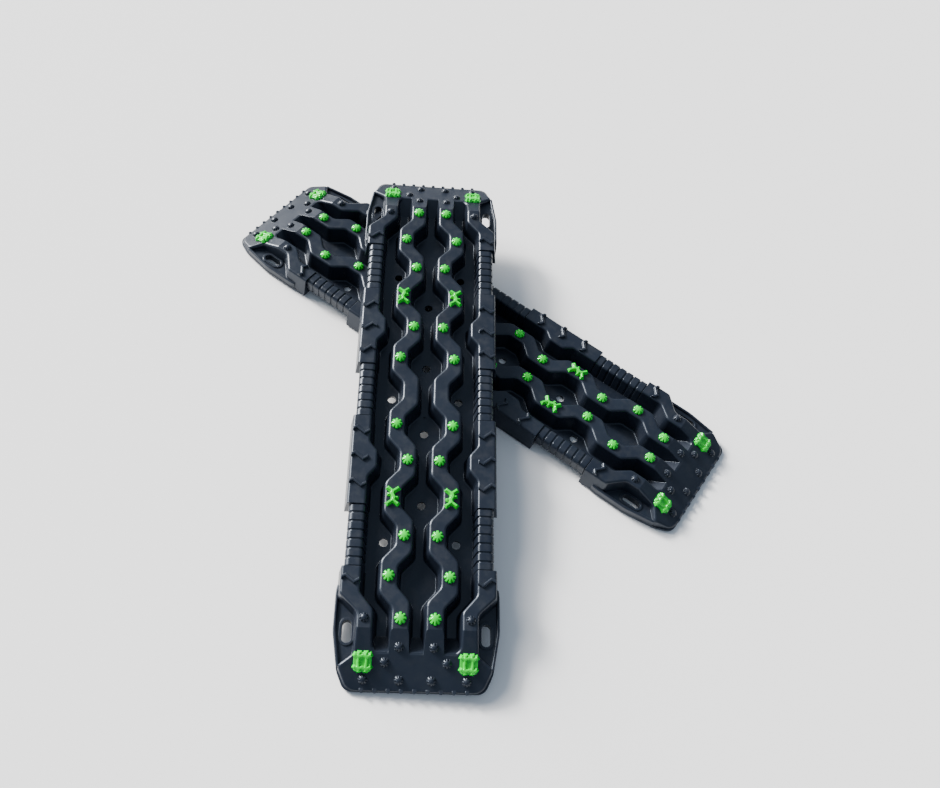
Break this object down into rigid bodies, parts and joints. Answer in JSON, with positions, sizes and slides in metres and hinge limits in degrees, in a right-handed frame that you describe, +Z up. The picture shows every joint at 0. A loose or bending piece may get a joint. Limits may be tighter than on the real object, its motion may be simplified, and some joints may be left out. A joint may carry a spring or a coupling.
{
  "type": "tire traction mats",
  "caption": "Pair of moulded recovery boards with serpentine ribs, side grips, end ramps, lashing slots and bright screwed-in grip cleats, one lying flat and one leaning across it.",
  "frame": {"origin": "centre of the lower mat, on the ground, at the middle of its centre tread bar", "axes": "+X along the lower mat's length, +Y across it, away from the end of the upper mat that stands on the ground, +Z up"},
  "size_m": [1.2092, 1.121, 0.1473],
  "materials": {
    "shell": "moulded black nylon, satin, faintly blue in open light",
    "cleats": "bright green hard nylon, glossy",
    "screws": "zinc-plated flange-head screws"
  },
  "bodies": {
    "lower_mat": {"lower_corner_cleat_bl": "cleats", "lower_corner_cleat_br": "cleats", "lower_corner_cleat_fl": "cleats", "lower_corner_cleat_fr": "cleats", "lower_cross_cleat_bl": "cleats", "lower_cross_cleat_br": "cleats", "lower_cross_cleat_fl": "cleats", "lower_cross_cleat_fr": "cleats", "lower_fixing_screws": "screws", "lower_shell": "shell", "lower_stud_bl1": "cleats", "lower_stud_bl2": "cleats", "lower_stud_bl4": "cleats", "lower_stud_bl5": "cleats", "lower_stud_bl6": "cleats", "lower_stud_br1": "cleats", "lower_stud_br2": "cleats", "lower_stud_br4": "cleats", "lower_stud_br5": "cleats", "lower_stud_br6": "cleats", "lower_stud_fl1": "cleats", "lower_stud_fl2": "cleats", "lower_stud_fl4": "cleats", "lower_stud_fl5": "cleats", "lower_stud_fl6": "cleats", "lower_stud_fr1": "cleats", "lower_stud_fr2": "cleats", "lower_stud_fr4": "cleats", "lower_stud_fr5": "cleats", "lower_stud_fr6": "cleats"},
    "upper_mat": {"upper_corner_cleat_bl": "cleats", "upper_corner_cleat_br": "cleats", "upper_corner_cleat_fl": "cleats", "upper_corner_cleat_fr": "cleats", "upper_cross_cleat_bl": "cleats", "upper_cross_cleat_br": "cleats", "upper_cross_cleat_fl": "cleats", "upper_cross_cleat_fr": "cleats", "upper_fixing_screws": "screws", "upper_shell": "shell", "upper_stud_bl1": "cleats", "upper_stud_bl2": "cleats", "upper_stud_bl4": "cleats", "upper_stud_bl5": "cleats", "upper_stud_bl6": "cleats", "upper_stud_br1": "cleats", "upper_stud_br2": "cleats", "upper_stud_br4": "cleats", "upper_stud_br5": "cleats", "upper_stud_br6": "cleats", "upper_stud_fl1": "cleats", "upper_stud_fl2": "cleats", "upper_stud_fl4": "cleats", "upper_stud_fl5": "cleats", "upper_stud_fl6": "cleats", "upper_stud_fr1": "cleats", "upper_stud_fr2": "cleats", "upper_stud_fr4": "cleats", "upper_stud_fr5": "cleats", "upper_stud_fr6": "cleats"}
  },
  "joints": [
    {"name": "lift_off", "type": "slide", "parent": "lower_mat", "child": "upper_mat", "axis": [0, 0, 1], "range_m": [0, 0.3]}
  ]
}
